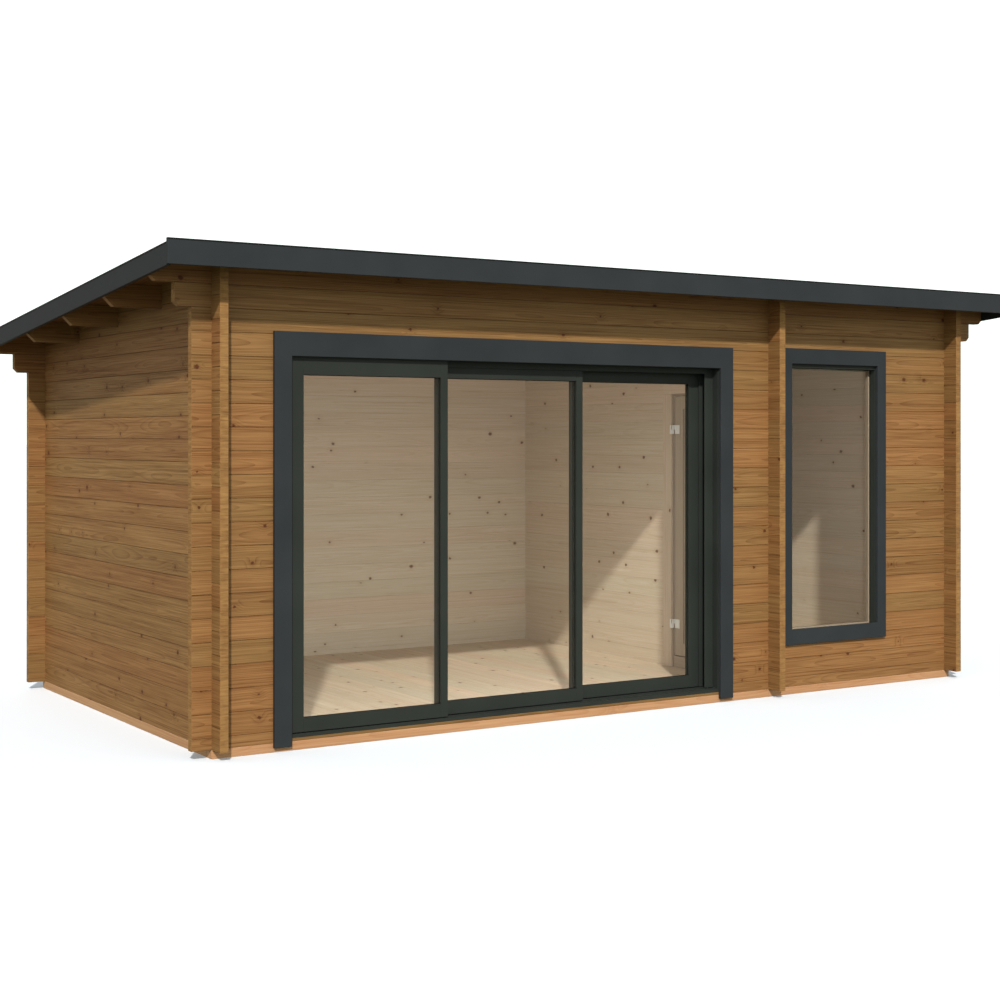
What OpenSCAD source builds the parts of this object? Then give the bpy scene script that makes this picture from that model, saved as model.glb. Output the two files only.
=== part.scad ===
// Garden sauna house: a pent-roofed log cabin with two rooms, a three-leaf sliding glass door,
// a fixed window and an inner door in the log partition.
// The house stands on the ground at z = 0, with its long front along X and the front facing -Y.

/* [Log walls] */
// Width of the house between the outer faces of the side walls
wall_w = 5000; // [4900:10:6500]
// Depth of the house between the outer faces of the front and back walls
wall_d = 2630; // [2200:10:3400]
// Thickness of a wall log
log_t = 44; // [34:1:60]
// Height of one course of logs
log_h = 113; // [110:1:140]
// Full courses in the front wall between its half log and its top log
front_courses = 19; // [18:1:22]
// Courses that the back wall is lower than the front wall
fall_courses = 2; // [1:1:3]
// Height of the top log at the wall's front face
top_log_h = 96.5; // [60:0.5:110]
// Depth of the V groove between two courses
groove = 4; // [2:0.5:6]
// Length of the log ends past a corner
corner_out = 100; // [60:5:125]
// How much further the lower corbel log reaches than the logs below it
corbel_step = 85; // [40:5:120]
// Cut on the lower corner of a corbel log
corbel_cut = 25; // [0:1:40]
// Clear width of the small room behind the window
small_room_w = 1432; // [1100:1:1800]

/* [Base and floor] */
// Height of the base beams that the walls stand on
beam_h = 45; // [30:1:100]
// Width of the base beams
beam_w = 60; // [50:1:100]
// Width of a floor joist
joist_w = 45; // [35:1:70]
// Largest spacing between floor joists
joist_pitch = 450; // [300:10:600]
// Thickness of the floor boards
floor_t = 28; // [18:1:35]

/* [Roof] */
// Overhang of the roof past each side wall
roof_over_side = 325; // [320:5:450]
// Overhang of the roof past the front wall
roof_over_front = 280; // [150:5:450]
// Overhang of the roof past the back wall
roof_over_back = 200; // [120:5:400]
// Thickness of the roof boards
roof_board_t = 19; // [16:1:28]
// Thickness of the roof covering
covering_t = 4; // [2:0.5:8]
// Thickness of a fascia board
fascia_t = 22; // [16:1:30]
// Distance of the front and back fascias' lower edge below the roof boards
fascia_drop = 69; // [40:0.5:120]
// Height of the front fascia
front_fascia_h = 118; // [95:1:180]
// Distance of the side fascias' lower edge below the roof boards
side_fascia_drop = 71.5; // [40:0.5:75]
// Height of the side fascias
side_fascia_h = 106; // [96:1:170]
// Height of a purlin at its front face
purlin_h = 116; // [90:1:160]
// Reach of the purlins and the upper corbel logs past the side walls
purlin_out = 300; // [275:5:300]
// Cut on the lower corner of a purlin's end
purlin_cut = 50; // [0:1:80]
// Number of purlins between the front and back walls
purlin_count = 3; // [3:1:3]

/* [Sliding door] */
// Distance of the door opening from the left wall's outer face
door_from_left = 340; // [330:1:600]
// Width of one sliding leaf
leaf_w = 919; // [700:1:925]
// Height of one sliding leaf
leaf_h = 1838; // [1600:1:1845]
// Thickness of a sliding leaf
leaf_t = 36; // [28:1:50]
// Width of the stiles that overlap where two leaves meet
meeting_stile_w = 41; // [38:1:70]
// How far a leaf reaches over the next one
leaf_overlap = 31.5; // [20:0.5:35]
// Width of the outer stile of the left and right leaves
outer_stile_w = 101; // [80:1:120]
// Height of a leaf's bottom rail
bottom_rail_h = 68; // [50:1:120]
// Height of a leaf's top rail
top_rail_h = 93; // [60:1:120]
// Clearance between a moving leaf and what stands beside it
run_gap = 5; // [5:0.5:10]
// Thickness of the ribs that part the three tracks
track_rib_t = 5; // [3:0.5:8]
// Thickness of the glass
glass_t = 6; // [4:1:12]
// Height of the threshold board under the door frame
threshold_h = 15; // [8:1:30]
// Width of the casing boards beside the sliding door
door_casing_w = 92.5; // [80:0.5:120]
// Thickness of the casing boards
casing_t = 22; // [15:1:30]

/* [Window] */
// Distance of the window opening from the partition
window_from_partition = 88; // [60:1:400]
// Width of the window opening
window_w = 775; // [500:1:900]
// Height of the window opening's sill above the base beams
window_sill_z = 286; // [200:1:900]
// Width of the casing boards beside the window
window_casing_w = 71; // [50:1:100]
// Height of the casing boards over and under the window
window_casing_h = 91; // [75:1:120]
// Depth of the window frame
window_frame_d = 70; // [60:1:100]
// Width of the window frame's members
window_member_w = 36; // [30:1:50]
// Depth of the glass behind the wall's front face
window_glass_y = 42; // [20:1:50]

/* [Inner door] */
// Distance of the inner door opening from the front wall's outer face
inner_from_front = 146; // [120:1:400]
// Width of the inner door leaf
inner_leaf_w = 680; // [600:1:850]
// Height of the inner door leaf
inner_leaf_h = 1630; // [1500:1:1700]
// Thickness of the inner door leaf
inner_leaf_t = 36; // [28:1:40]
// Width of the inner leaf's stiles and rails
inner_stile_w = 80; // [60:1:120]
// Thickness of the inner frame's jambs and head
inner_jamb_t = 38; // [28:1:50]
// Height of the inner frame's bottom member
inner_sill_h = 70; // [30:1:90]
// Width of the casing around the inner door
inner_casing_w = 82; // [50:1:100]
// Thickness of the casing around the inner door
inner_casing_t = 16; // [10:1:20]
// Height of one hinge
hinge_h = 55; // [40:1:80]

/* [Hidden] */

// Wall heights, above the top of the base beams
half_log = log_h / 2;
lap_h = log_h / 2;
roof_front_z = half_log + front_courses * log_h + top_log_h;
roof_fall = fall_courses * log_h;
roof_mid_y = (wall_d + roof_over_back - roof_over_front) / 2;
back_courses = front_courses - fall_courses;
partition_x = wall_w - log_t - small_room_w - log_t;
above = 400;

// Sliding door: tracks are numbered 0 to 2 from the front
track_pitch = leaf_t + 2 * run_gap + track_rib_t + 1;
track_y0 = 6;
frame_fit = 8;
jamb_left_t = 29;
jamb_right_t = 44;
jamb_rib_l = 58;
seat_gap = 0.3;
roof_seat = 0.05;
rail_w = 4;
sill_t = 18;
rail_h = run_gap - seat_gap;
leaf_x0 = door_from_left + frame_fit + jamb_left_t + run_gap;
leaf_pitch = leaf_w - leaf_overlap;
leaf_end_x = leaf_x0 + 2 * leaf_pitch + leaf_w;
end_gap = 21;
jamb_right_x = leaf_end_x + end_gap;
door_open_x1 = jamb_right_x + jamb_right_t + frame_fit;
sill_z = threshold_h + sill_t;
leaf_z = sill_z + run_gap;
leaf_top_z = leaf_z + leaf_h;
head_gap = 6;
head_rib_h = 41.5;
head_z = leaf_top_z + head_gap;
head_h = 68;
frame_d = track_y0 + 2 * track_pitch + leaf_t + run_gap + 7;

// The wall over both openings starts on a groove line, and leaves room for the logs to settle
settle_min = 20;
lintel_courses = ceil((head_z + head_h + settle_min - half_log) / log_h);
lintel_z = half_log + lintel_courses * log_h;
casing_lap = 13.5;
casing_top_z = lintel_z + casing_lap;
casing_foot_z = -beam_h / 2;
casing_over_stile = 26;
casing_over_top = 4.5;
casing_x0 = leaf_x0 + casing_over_stile;
casing_x1 = jamb_right_x + run_gap;
casing_under_z = leaf_top_z - casing_over_top;

// Window
window_x0 = partition_x + log_t + window_from_partition;
window_fit = 4;
window_reveal = 3;
window_bead = 10;
window_frame_z0 = window_sill_z + window_fit;
window_sill_member = 40;
window_head_member = 60;
window_sill_cover = 10;
window_head_shown = 22;
window_casing_lap = 25.5;
window_casing_z0 = window_frame_z0 + window_sill_member + window_sill_cover;
window_casing_z1 = lintel_z + window_casing_lap - window_casing_h;
window_top_z = window_casing_z1 - window_head_shown;

// Inner door
inner_fit = 4;
inner_y0 = inner_from_front + inner_fit + inner_jamb_t + run_gap;
inner_y1 = inner_y0 + inner_leaf_w;
inner_open_y1 = inner_y1 + run_gap + inner_jamb_t + inner_fit;
inner_z0 = floor_t + inner_sill_h + run_gap;
inner_z1 = inner_z0 + inner_leaf_h;
inner_head_h = 40;
inner_settle = 20;
inner_open_z = inner_z1 + run_gap + inner_head_h + inner_settle;
inner_reveal = 13;
inner_leaf_x = partition_x + 2;
hinge_r = 6.5;
hinge_t = 2.5;
hinge_x = partition_x - inner_casing_t + hinge_r - 0.5;
hinge_y = inner_y1 + run_gap + 1;
hinge_wing = 46;
hinge_frame_wing = 22;
hinge_over_foot = 198;
hinge_under_top = 208;
hinge_zs = [inner_z0 + hinge_over_foot, inner_z1 - hinge_under_top];

log_colour = [0.62, 0.44, 0.27];
raw_colour = [0.78, 0.58, 0.42];
inside_colour = [0.80, 0.70, 0.56];
dark_colour = [0.22, 0.24, 0.25];
glass_colour = [0.75, 0.80, 0.80, 0.4];

// Underside of the roof boards at a distance y behind the front wall's outer face
function roof_under(y) = roof_front_z - roof_fall * y / (wall_d - log_t);

// Heights of the grooves of a wall whose first groove is at first, between z0 and z1
function groove_lines(z0, z1, first) =
    [for (z = [first : log_h : z1 - groove]) if (z > z0 + groove) z];

// Section of a log wall: a plain slab with a V groove in both faces at each course
function log_section(z0, z1, first) =
    let (lines = groove_lines(z0, z1, first), last = len(lines) - 1)
    concat(
        [[0, z0]],
        [for (z = lines) each [[0, z - groove], [groove, z], [0, z + groove]]],
        [[0, z1], [log_t, z1]],
        [for (i = [last : -1 : 0]) let (z = lines[i])
            each [[log_t, z + groove], [log_t - groove, z], [log_t, z - groove]]],
        [[log_t, z0]]);

// Puts a piece from the front left corner of the walls into the house's own frame
module house() translate([-wall_w / 2, -roof_mid_y, beam_h]) children();

module block(low, high) translate(low) cube(high - low);

// Extrudes an outline in Y and Z along X
module along_x(x0, x1) translate([x0, 0, 0]) rotate([90, 0, 90]) linear_extrude(x1 - x0) children();

// Extrudes an outline in X and Z along Y
module along_y(y0, y1) translate([0, y1, 0]) rotate([90, 0, 0]) linear_extrude(y1 - y0) children();

// Everything above the underside of the roof boards
module roof_space()
    along_x(-2 * above, wall_w + 2 * above)
        polygon([
            [-above, roof_under(-above)], [wall_d + above, roof_under(wall_d + above)],
            [wall_d + above, roof_front_z + above], [-above, roof_front_z + above]]);

// In a crossing the logs along X hold every other half course, the last one up to the roof
module x_log_laps(x, y, courses)
    for (k = [0 : courses + 1])
        translate([x, y, k * log_h - lap_h / 2])
            cube([log_t, log_t, k > courses ? above : lap_h]);

// and the logs along Y hold the half courses between them
module y_log_laps(x, y, courses)
    for (k = [0 : courses])
        translate([x, y, k * log_h + lap_h / 2]) cube([log_t, log_t, lap_h]);

// A stretch of wall along X, with its outer or front face at y
module x_wall(x0, x1, y, z0, z1, courses)
    color(log_colour)
    difference() {
        translate([0, y, 0]) along_x(x0, x1) polygon(log_section(z0, z1, half_log));
        for (x = [0, partition_x, wall_w - log_t])
            if (x > x0 && x < x1) y_log_laps(x, y, courses);
        if (z1 > roof_under(y + log_t)) roof_space();
    }

// A stretch of wall along Y, with its left face at x
module y_wall(x, y0, y1, z0)
    color(log_colour)
    difference() {
        translate([x, 0, 0]) along_y(y0, y1) polygon(log_section(z0, roof_front_z + above, log_h));
        if (y0 < 0) x_log_laps(x, 0, front_courses);
        if (y1 > wall_d) x_log_laps(x, wall_d - log_t, back_courses);
        for (i = [1 : purlin_count])
            if (purlin_y(i) > y0 && purlin_y(i) < y1)
                translate([x, purlin_y(i), purlin_z(i)]) cube([log_t, log_t, above]);
        roof_space();
    }

// Outline of a wall's upper logs, seen from the front: the last two reach further out in two steps
module corbel_outline(z0, courses) {
    z1 = half_log + (courses - 1) * log_h;
    z2 = z1 + log_h;
    o0 = corner_out;
    o1 = o0 + corbel_step;
    o2 = purlin_out;
    left = [
        [-o0, z0], [-o0, z1], [-o1 + corbel_cut, z1], [-o1, z1 + corbel_cut],
        [-o1, z2], [-o2 + corbel_cut, z2], [-o2, z2 + corbel_cut], [-o2, z2 + above]];
    polygon(concat(left, [for (i = [len(left) - 1 : -1 : 0]) [wall_w - left[i][0], left[i][1]]]));
}

module foundation_beam(low, high) color(raw_colour) block([low[0], low[1], -beam_h], [high[0], high[1], 0]);

module base_long_beams() house() {
    foundation_beam([0, 0], [wall_w, beam_w]);
    foundation_beam([0, wall_d - beam_w], [wall_w, wall_d]);
}

module base_cross_beams() house()
    for (x = [0, partition_x - (beam_w - log_t) / 2, wall_w - beam_w])
        foundation_beam([x, beam_w], [x + beam_w, wall_d - beam_w]);

// Joists between two cross beams, evenly spaced from the front beam to the back beam
module joist_row(x0, x1) {
    clear = wall_d - 2 * beam_w;
    count = ceil(clear / joist_pitch) - 1;
    for (i = [1 : count]) {
        y = beam_w + clear * i / (count + 1) - joist_w / 2;
        foundation_beam([x0, y], [x1, y + joist_w]);
    }
}

module floor_joists() house() {
    mid_x = partition_x - (beam_w - log_t) / 2;
    joist_row(beam_w, mid_x);
    joist_row(mid_x + beam_w, wall_w - beam_w);
}

module floor_main_room() house() color(inside_colour)
    difference() {
        block([log_t, log_t, 0], [partition_x, wall_d - log_t, floor_t]);
        block([door_from_left - 2, 0, -1], [door_open_x1 + 2, frame_d + 2, floor_t + 1]);
    }

module floor_small_room() house() color(inside_colour)
    block([partition_x + log_t, log_t, 0], [wall_w - log_t, wall_d - log_t, floor_t]);

module door_threshold() house() color(log_colour)
    block([door_from_left, 0, 0], [door_open_x1, frame_d, threshold_h]);

module front_wall_left() house()
    x_wall(-corner_out, door_from_left, 0, 0, lintel_z, front_courses);

module front_wall_middle() house()
    x_wall(door_open_x1, window_x0, 0, 0, lintel_z, front_courses);

module front_wall_under_window() house()
    x_wall(window_x0, window_x0 + window_w, 0, 0, window_sill_z, front_courses);

module front_wall_right() house()
    x_wall(window_x0 + window_w, wall_w + corner_out, 0, 0, lintel_z, front_courses);

module front_wall_top() house() color(log_colour)
    intersection() {
        x_wall(-above, wall_w + above, 0, lintel_z, roof_front_z + above / 2, front_courses);
        along_y(0, log_t) corbel_outline(lintel_z, front_courses);
    }

module back_wall() house() color(log_colour)
    intersection() {
        x_wall(-above, wall_w + above, wall_d - log_t, 0, roof_front_z, back_courses);
        along_y(wall_d - log_t, wall_d) corbel_outline(0, back_courses);
    }

module left_wall() house() y_wall(0, -corner_out, wall_d + corner_out, 0);

module right_wall() house() y_wall(wall_w - log_t, -corner_out, wall_d + corner_out, 0);

module partition_front() house() y_wall(partition_x, -corner_out, inner_from_front, 0);

module partition_back() house() y_wall(partition_x, inner_open_y1, wall_d + corner_out, 0);

module partition_over_door() house() y_wall(partition_x, inner_from_front, inner_open_y1, inner_open_z);

module partition_under_door() house() color(log_colour)
    block([partition_x, inner_from_front, 0], [partition_x + log_t, inner_open_y1, floor_t]);

// Purlins are spaced evenly between the front and back walls, and numbered from the front
function purlin_y(i) = i * (wall_d - log_t) / (purlin_count + 1);
function purlin_z(i) = roof_under(purlin_y(i)) - purlin_h;

module purlin(i) house() color(log_colour) {
    z = purlin_z(i);
    end_x = -purlin_out;
    difference() {
        along_y(purlin_y(i), purlin_y(i) + log_t)
            polygon([
                [end_x + purlin_cut, z], [end_x, z + purlin_cut], [end_x, z + 2 * purlin_h],
                [wall_w - end_x, z + 2 * purlin_h], [wall_w - end_x, z + purlin_cut],
                [wall_w - end_x - purlin_cut, z]]);
        roof_space();
    }
}

module purlin_front() purlin(1);
module purlin_middle() purlin(2);
module purlin_back() purlin(3);

// A sheet parallel to the roof, from low to high above the roof boards' underside
module roof_sheet(x0, x1, y0, y1, low, high)
    along_x(x0, x1)
        polygon([
            [y0, roof_under(y0) + low], [y1, roof_under(y1) + low],
            [y1, roof_under(y1) + high], [y0, roof_under(y0) + high]]);

fascia_in_x = roof_over_side - fascia_t;
fascia_in_front = -roof_over_front + fascia_t;
fascia_in_back = wall_d + roof_over_back - fascia_t;
fascia_z = roof_under(-roof_over_front) - fascia_drop;

// The boards rest on the sloping wall tops and purlins with a hair of clearance, and the covering on them
module roof_boards() house() color(log_colour)
    roof_sheet(
        -fascia_in_x, wall_w + fascia_in_x, fascia_in_front, fascia_in_back,
        roof_seat, roof_board_t);

module roof_covering() house() color(dark_colour)
    roof_sheet(
        -fascia_in_x, wall_w + fascia_in_x, fascia_in_front, wall_d + roof_over_back,
        roof_board_t + roof_seat, roof_board_t + covering_t);

module fascia_front() house() color(dark_colour)
    block(
        [-roof_over_side, -roof_over_front, fascia_z],
        [wall_w + roof_over_side, fascia_in_front, fascia_z + front_fascia_h]);

module fascia_back() house() color(dark_colour)
    roof_sheet(
        -roof_over_side, wall_w + roof_over_side, fascia_in_back, wall_d + roof_over_back,
        -fascia_drop, roof_board_t);

module fascia_sides() house() color(dark_colour)
    for (x = [-roof_over_side, wall_w + fascia_in_x])
        roof_sheet(
            x, x + fascia_t, fascia_in_front, fascia_in_back,
            -side_fascia_drop, side_fascia_h - side_fascia_drop);

function track_y(i) = track_y0 + i * track_pitch;
// Front face of the rib between track i and the one behind it
function rib_y(i) = track_y(i) + leaf_t + run_gap + 0.5;

module sliding_head() house() color(dark_colour) {
    x0 = door_from_left + frame_fit;
    x1 = door_open_x1 - frame_fit;
    block([x0, 0, head_z], [x1, frame_d, head_z + head_h]);
    for (i = [0, 1])
        block([x0 + jamb_left_t, rib_y(i), head_z - head_rib_h], [jamb_right_x, rib_y(i) + track_rib_t, head_z]);
}

module sliding_sill() house() color(dark_colour) {
    x0 = door_from_left + frame_fit;
    x1 = door_open_x1 - frame_fit;
    block([x0, 0, threshold_h], [x1, frame_d, sill_z]);
    for (i = [0 : 2])
        translate([x0 + jamb_left_t, track_y(i) + (leaf_t - rail_w) / 2, sill_z])
            cube([jamb_right_x - x0 - jamb_left_t, rail_w, rail_h]);
}

module sliding_jamb_left() house() color(dark_colour)
    block([door_from_left + frame_fit, 0, sill_z], [door_from_left + frame_fit + jamb_left_t, frame_d, head_z]);

// The right jamb has a rib behind each of the first two tracks
module sliding_jamb_right() house() color(dark_colour) {
    block([jamb_right_x, 0, sill_z], [jamb_right_x + jamb_right_t, frame_d, head_z]);
    z0 = sill_z + rail_h;
    z1 = head_z - head_rib_h;
    for (i = [0, 1])
        block([jamb_right_x - jamb_rib_l, rib_y(i), z0], [jamb_right_x, rib_y(i) + track_rib_t, z1]);
}

// Casing boards on the wall's front face, two legs and a head
module sliding_casing() house() color(dark_colour)
    along_y(-casing_t, 0)
        polygon([
            [casing_x0 - door_casing_w, casing_foot_z], [casing_x0 - door_casing_w, casing_top_z],
            [casing_x1 + door_casing_w, casing_top_z], [casing_x1 + door_casing_w, casing_foot_z],
            [casing_x1, casing_foot_z], [casing_x1, casing_under_z],
            [casing_x0, casing_under_z], [casing_x0, casing_foot_z]]);

function leaf_x(i) = leaf_x0 + i * leaf_pitch;
function left_stile(i) = i == 0 ? outer_stile_w : meeting_stile_w;
function right_stile(i) = i == 2 ? outer_stile_w : meeting_stile_w;

// Leaf i runs on track i, and is closed by a pane of glass
module leaf_opening(i, y0, y1)
    block(
        [leaf_x(i) + left_stile(i), y0, leaf_z + bottom_rail_h],
        [leaf_x(i) + leaf_w - right_stile(i), y1, leaf_top_z - top_rail_h]);

module leaf_frame(i) house() color(dark_colour)
    difference() {
        block([leaf_x(i), track_y(i), leaf_z], [leaf_x(i) + leaf_w, track_y(i) + leaf_t, leaf_top_z]);
        leaf_opening(i, track_y(i) - 1, track_y(i) + leaf_t + 1);
    }

module leaf_glass(i) house() color(glass_colour)
    leaf_opening(i, track_y(i) + (leaf_t - glass_t) / 2, track_y(i) + (leaf_t + glass_t) / 2);

module leaf_left() leaf_frame(0);
module leaf_middle() leaf_frame(1);
module leaf_right() leaf_frame(2);
module glass_left() leaf_glass(0);
module glass_middle() leaf_glass(1);
module glass_right() leaf_glass(2);

// Inner outline of the window frame, made smaller by inset, from y0 to y1
module window_hole(inset, y0, y1)
    block(
        [window_x0 + window_fit + window_member_w + inset, y0, window_frame_z0 + window_sill_member + inset],
        [window_x0 + window_w - window_fit - window_member_w - inset, y1, window_top_z - inset]);

module window_frame() house() color(dark_colour)
    difference() {
        block(
            [window_x0 + window_fit, 0, window_frame_z0],
            [window_x0 + window_w - window_fit, window_frame_d, window_top_z + window_head_member]);
        window_hole(0, -1, window_glass_y + glass_t);
        window_hole(window_bead, window_glass_y, window_frame_d + 1);
    }

module window_glass() house() color(glass_colour)
    window_hole(0, window_glass_y, window_glass_y + glass_t);

module window_casing() house() color(dark_colour) {
    x0 = window_x0 + window_fit + window_member_w - window_reveal;
    x1 = window_x0 + window_w - window_fit - window_member_w + window_reveal;
    difference() {
        block(
            [x0 - window_casing_w, -casing_t, window_casing_z0 - window_casing_h],
            [x1 + window_casing_w, 0, window_casing_z1 + window_casing_h]);
        block([x0, -casing_t - 1, window_casing_z0], [x1, 1, window_casing_z1]);
    }
}

// Frame in the partition: two jambs, a head and a raised bottom member
module inner_frame() house() color(inside_colour)
    difference() {
        block(
            [partition_x, inner_from_front + inner_fit, floor_t],
            [partition_x + log_t, inner_open_y1 - inner_fit, inner_open_z - inner_settle]);
        block(
            [partition_x - 1, inner_y0 - run_gap, inner_z0 - run_gap],
            [partition_x + log_t + 1, inner_y1 + run_gap, inner_z1 + run_gap]);
    }

// Casing on both faces of the partition, two legs and a head on each
module inner_casing() house() color(inside_colour) {
    y0 = inner_y0 - run_gap - inner_reveal;
    y1 = inner_y1 + run_gap + inner_reveal;
    z1 = inner_z1 + run_gap + inner_reveal;
    for (x = [partition_x - inner_casing_t, partition_x + log_t])
        along_x(x, x + inner_casing_t)
            polygon([
                [y0 - inner_casing_w, floor_t], [y0 - inner_casing_w, z1 + inner_casing_w],
                [y1 + inner_casing_w, z1 + inner_casing_w], [y1 + inner_casing_w, floor_t],
                [y1, floor_t], [y1, z1], [y0, z1], [y0, floor_t]]);
}

// Framed leaf with a recessed panel
module inner_leaf() house() color(inside_colour) {
    panel_t = inner_leaf_t / 2;
    w = inner_stile_w;
    difference() {
        block(
            [inner_leaf_x, inner_y0, inner_z0],
            [inner_leaf_x + inner_leaf_t, inner_y1, inner_z1]);
        for (x = [inner_leaf_x - panel_t / 2, inner_leaf_x + inner_leaf_t - panel_t / 2])
            block([x, inner_y0 + w, inner_z0 + w], [x + panel_t, inner_y1 - w, inner_z1 - w]);
    }
}

// The lower half of each hinge barrel belongs to the frame, the upper half to the leaf
module hinge_barrel(z0, z1) translate([hinge_x, hinge_y, z0]) cylinder(r = hinge_r, h = z1 - z0, $fn = 48);

module inner_hinge_frame() house() color("white")
    for (z = hinge_zs) {
        hinge_barrel(z - hinge_h / 2, z);
        block(
            [partition_x - inner_casing_t - hinge_t, hinge_y, z - hinge_h / 2],
            [partition_x - inner_casing_t, hinge_y + hinge_frame_wing, z]);
        block(
            [partition_x - inner_casing_t - hinge_t, hinge_y + hinge_r + 1, z],
            [partition_x - inner_casing_t, hinge_y + hinge_frame_wing, z + hinge_h / 2]);
    }

module inner_hinge_leaf() house() color("white")
    for (z = hinge_zs) {
        low = z + seat_gap;
        hinge_barrel(low, z + hinge_h / 2);
        block([hinge_x, hinge_y - hinge_r, low], [inner_leaf_x, hinge_y - hinge_r + hinge_t, z + hinge_h / 2]);
        block(
            [inner_leaf_x - hinge_t, inner_y1 - hinge_wing, low],
            [inner_leaf_x, hinge_y - hinge_r + hinge_t, z + hinge_h / 2]);
        block(
            [inner_leaf_x - hinge_t, inner_y1 - hinge_wing, z - hinge_h / 2],
            [inner_leaf_x, hinge_y - hinge_r - 1, low]);
    }

base_long_beams();
base_cross_beams();
floor_joists();
floor_main_room();
floor_small_room();
door_threshold();
front_wall_left();
front_wall_middle();
front_wall_under_window();
front_wall_right();
front_wall_top();
left_wall();
right_wall();
back_wall();
partition_front();
partition_back();
partition_over_door();
partition_under_door();
purlin_front();
purlin_middle();
purlin_back();
roof_boards();
roof_covering();
fascia_front();
fascia_back();
fascia_sides();
sliding_head();
sliding_sill();
sliding_jamb_left();
sliding_jamb_right();
sliding_casing();
leaf_left();
leaf_middle();
leaf_right();
glass_left();
glass_middle();
glass_right();
window_frame();
window_glass();
window_casing();
inner_frame();
inner_casing();
inner_leaf();
inner_hinge_frame();
inner_hinge_leaf();
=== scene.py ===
"""Looks of the garden sauna house: tongued logs, boards, painted joinery, glass, studio light and camera."""

import math
import random

import bmesh
import bpy
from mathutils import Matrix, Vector


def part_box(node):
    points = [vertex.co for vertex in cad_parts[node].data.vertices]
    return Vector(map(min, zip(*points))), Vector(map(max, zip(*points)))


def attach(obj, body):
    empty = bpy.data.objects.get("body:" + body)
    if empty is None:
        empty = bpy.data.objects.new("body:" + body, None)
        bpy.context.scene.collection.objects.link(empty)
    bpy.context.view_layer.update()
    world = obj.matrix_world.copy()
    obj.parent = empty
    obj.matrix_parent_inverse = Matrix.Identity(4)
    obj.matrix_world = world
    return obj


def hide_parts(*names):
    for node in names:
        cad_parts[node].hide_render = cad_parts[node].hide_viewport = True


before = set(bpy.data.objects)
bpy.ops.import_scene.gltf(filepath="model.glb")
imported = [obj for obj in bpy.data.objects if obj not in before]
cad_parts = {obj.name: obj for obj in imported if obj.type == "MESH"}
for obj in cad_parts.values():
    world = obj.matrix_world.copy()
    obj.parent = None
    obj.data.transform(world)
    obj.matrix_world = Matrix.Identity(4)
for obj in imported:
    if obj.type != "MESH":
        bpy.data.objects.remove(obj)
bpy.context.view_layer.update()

# Sizes in metres. Places come from the boxes of the CAD nodes.

# Height of a log, its eased edges, the width and depth of the joint to the next, and the finer ones indoors
COURSE = 0.113
LOG_EASE = 0.0018
LOG_JOINT = 0.0008
JOINT_DEPTH = 0.004
FINE_EASE = 0.0009
FINE_JOINT = 0.0003
END_EASE = 0.0015
# Neighbouring parts of one piece stay this far apart, so that their faces don't coincide
HAIR = 0.0001
# How far each log under the eaves ends short of the longest one, from the top down, and its cut corner
CORBEL_BACK = (0.0, 0.115, 0.2)
CORBEL_CUT = 0.025
PURLIN_CUT = 0.05

ROOF_BOARD_T = 0.019
ROOF_BOARD_W = 0.096
ROOF_BOARD_EASE = 0.003
FLOOR_BOARD_W = 0.121
FLOOR_BOARD_EASE = 0.0012
FLOOR_CLEAR = 0.002
BOARD_JOINT = 0.0008
FELT_T = 0.0019
FELT_ROW = 0.9
FELT_LAP = 0.08
TRIM_LIP = 0.007
TRIM_T = 0.0015

GASKET_W = 0.003
GASKET_T = 0.003
WINDOW_BEAD = 0.010
# The inner door: stiles and rails, panel boards, gap round the leaf, and frame that shows past the gap
INNER_STILE = 0.08
PANEL_BOARD_W = 0.09
PANEL_BOARD_EASE = 0.002
INNER_GAP = 0.005
INNER_REVEAL = 0.013

# Rounding of edges, from thin metal to heavy timber
EDGE_METAL = 0.0004
EDGE_PROFILE = 0.0008
EDGE_MEMBER = 0.0012
EDGE_JOINERY = 0.0015
EDGE_BOARD = 0.002
EDGE_TIMBER = 0.003

X, Y, Z = 0, 1, 2


def low(node):
    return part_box(node)[0]


def high(node):
    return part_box(node)[1]


BASE_TOP = low("left_wall").z
WEST, WEST_IN = low("left_wall").x, high("left_wall").x
EAST_IN, EAST = low("right_wall").x, high("right_wall").x
SOUTH, SOUTH_IN = low("front_wall_left").y, high("front_wall_left").y
NORTH_IN, NORTH = low("back_wall").y, high("back_wall").y
ROOF_LOW, ROOF_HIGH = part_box("roof_boards")
SLOPE = (ROOF_HIGH.z - ROOF_BOARD_T - ROOF_LOW.z) / (ROOF_HIGH.y - ROOF_LOW.y)
UP = Vector((0, SLOPE, 1))


def roof_under(y):
    """Height of the roof boards' underside."""
    return ROOF_HIGH.z - ROOF_BOARD_T - SLOPE * (y - ROOF_LOW.y)


def indoors(point):
    """Whether a point lies in one of the two rooms."""
    return WEST_IN < point.x < EAST_IN and SOUTH_IN < point.y < NORTH_IN


# ---------------------------------------------------------------- Shapes


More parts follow.
